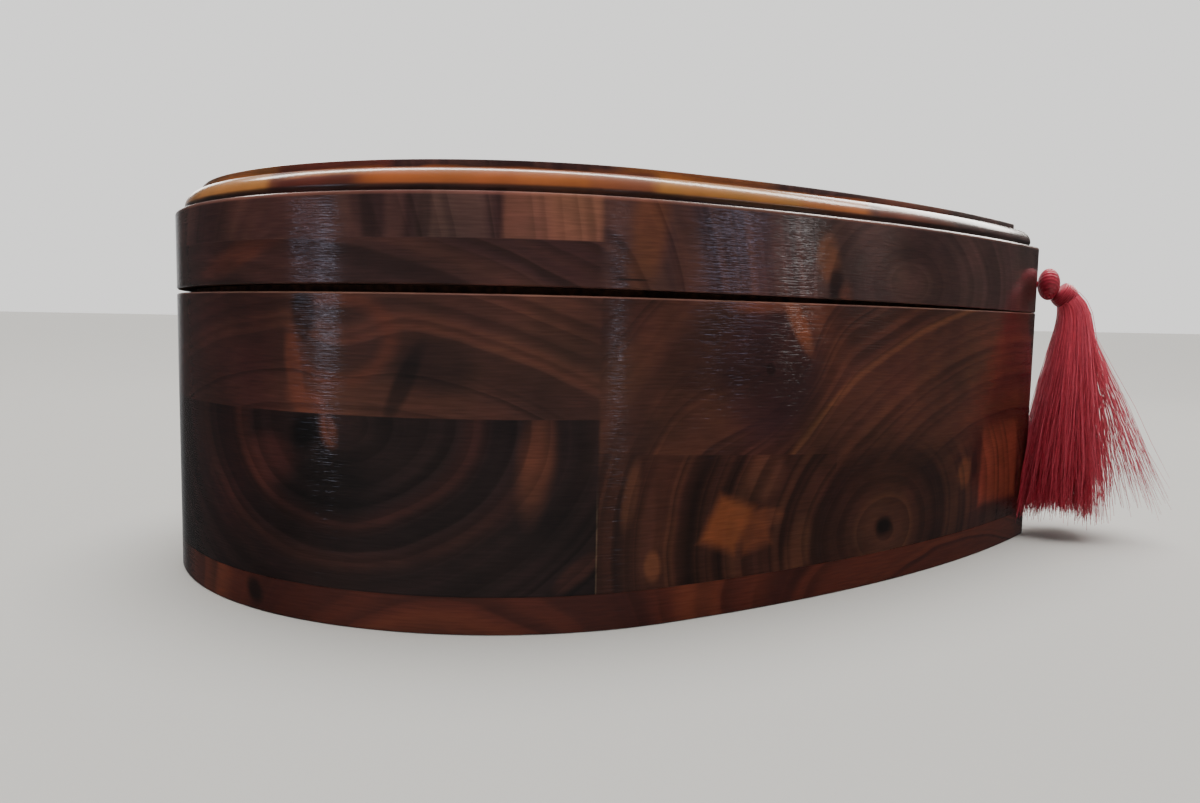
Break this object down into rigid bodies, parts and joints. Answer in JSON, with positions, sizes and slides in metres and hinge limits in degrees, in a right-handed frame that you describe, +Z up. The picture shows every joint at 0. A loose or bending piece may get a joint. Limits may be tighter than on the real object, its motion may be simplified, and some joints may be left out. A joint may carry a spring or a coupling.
{
  "type": "heart-shaped wooden box",
  "caption": "Hollow heart-shaped trinket box of lacquered knotty wood with a lift-off moulded lid and a silk tassel at its tip.",
  "frame": {"origin": "centre of the heart's length and width on the underside of the base board", "axes": "+X along the heart's axis towards its tip and the tassel, +Y towards the lobe away from the viewer, +Z up"},
  "size_m": [0.2858, 0.248, 0.1011],
  "materials": {
    "base_wood": "gloss",
    "wall_wood": "gloss",
    "lid_wood": "gloss",
    "silk_cord": "satin",
    "silk_thread": "satin"
  },
  "bodies": {
    "root": {"base_board": "base_wood", "box_wall": "wall_wood", "lid": "lid_wood", "tassel_cord": "silk_cord", "tassel_knot": "silk_cord", "tassel_binding": "silk_cord", "tassel_skirt": "silk_thread"}
  },
  "joints": []
}
